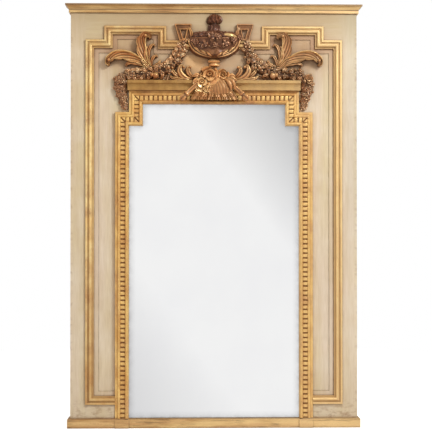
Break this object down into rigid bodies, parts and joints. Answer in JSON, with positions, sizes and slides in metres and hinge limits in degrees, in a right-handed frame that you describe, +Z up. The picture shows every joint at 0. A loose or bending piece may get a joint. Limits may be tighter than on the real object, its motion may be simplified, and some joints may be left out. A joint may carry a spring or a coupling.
{
  "type": "trumeau mirror",
  "caption": "Tall painted and gilt overmantel mirror with a stepped sight frame, a shelf cap and carved urn, roses, torches, garlands and acanthus above the plate.",
  "frame": {"origin": "middle of the bounding box's bottom face, on the surface that the mirror stands on", "axes": "+X to the right seen from the front, +Y towards the wall behind, +Z up"},
  "size_m": [1.229, 0.115, 1.75],
  "materials": {
    "painted_wood": "aged cream distemper with brown glaze in the corners",
    "gilt_wood": "worn water gilding over red bole",
    "carved_gilt": "bronze-toned gilding, dark in the hollows and bright on the high points",
    "raw_pine": "bare aged pine",
    "mirror_glass": "silvered plate",
    "steel": "dull plated steel"
  },
  "bodies": {
    "case": {"back_bottom_rail": "raw_pine", "hanging_rail": "raw_pine", "back_top_rail": "raw_pine", "backing_planks": "raw_pine", "back_stile_left": "raw_pine", "back_stile_right": "raw_pine", "inner_stile_left": "raw_pine", "inner_stile_right": "raw_pine", "face_top_rail": "painted_wood", "face_bottom_rail": "painted_wood", "panel_top": "painted_wood", "face_stile_left": "painted_wood", "face_stile_right": "painted_wood", "panel_left": "painted_wood", "panel_right": "painted_wood", "gilt_crossbar": "gilt_wood", "sight_head": "gilt_wood", "cap": "gilt_wood", "cornice_front": "gilt_wood", "cornice_return_left": "gilt_wood", "cornice_return_right": "gilt_wood", "base_rail": "gilt_wood", "base_return_left": "gilt_wood", "base_return_right": "gilt_wood", "plinth_blocks": "gilt_wood", "gilt_foot_left": "gilt_wood", "gilt_foot_right": "gilt_wood", "gilt_upright_left": "gilt_wood", "gilt_upright_right": "gilt_wood", "gilt_top_bar_left": "gilt_wood", "gilt_top_bar_right": "gilt_wood", "gilt_returns_left": "gilt_wood", "gilt_returns_right": "gilt_wood", "sight_upright_left": "gilt_wood", "sight_upright_right": "gilt_wood", "sight_step_left": "gilt_wood", "sight_step_right": "gilt_wood", "sight_riser_left": "gilt_wood", "sight_riser_right": "gilt_wood", "mirror_plate": "mirror_glass", "urn_bowl": "carved_gilt", "urn_lid": "carved_gilt", "rose_bouquet": "carved_gilt", "torches": "carved_gilt", "urn_handle_left": "carved_gilt", "urn_handle_right": "carved_gilt", "scroll_left": "carved_gilt", "scroll_right": "carved_gilt", "garland_left": "carved_gilt", "garland_right": "carved_gilt", "drop_left": "carved_gilt", "drop_right": "carved_gilt", "acanthus_left": "carved_gilt", "acanthus_right": "carved_gilt", "hanger_screws": "steel", "hanger_strap_left": "steel", "hanger_strap_right": "steel"},
    "left_ring": {"hanger_ring_left": "steel"},
    "right_ring": {"hanger_ring_right": "steel"}
  },
  "joints": [
    {"name": "left_ring_swing", "type": "hinge", "parent": "case", "child": "left_ring", "pos_m": [-0.3, 0.05, 1.388], "axis": [1, 0, 0], "range_deg": [-8, 190]},
    {"name": "right_ring_swing", "type": "hinge", "parent": "case", "child": "right_ring", "pos_m": [0.3, 0.05, 1.388], "axis": [1, 0, 0], "range_deg": [-8, 190]}
  ]
}
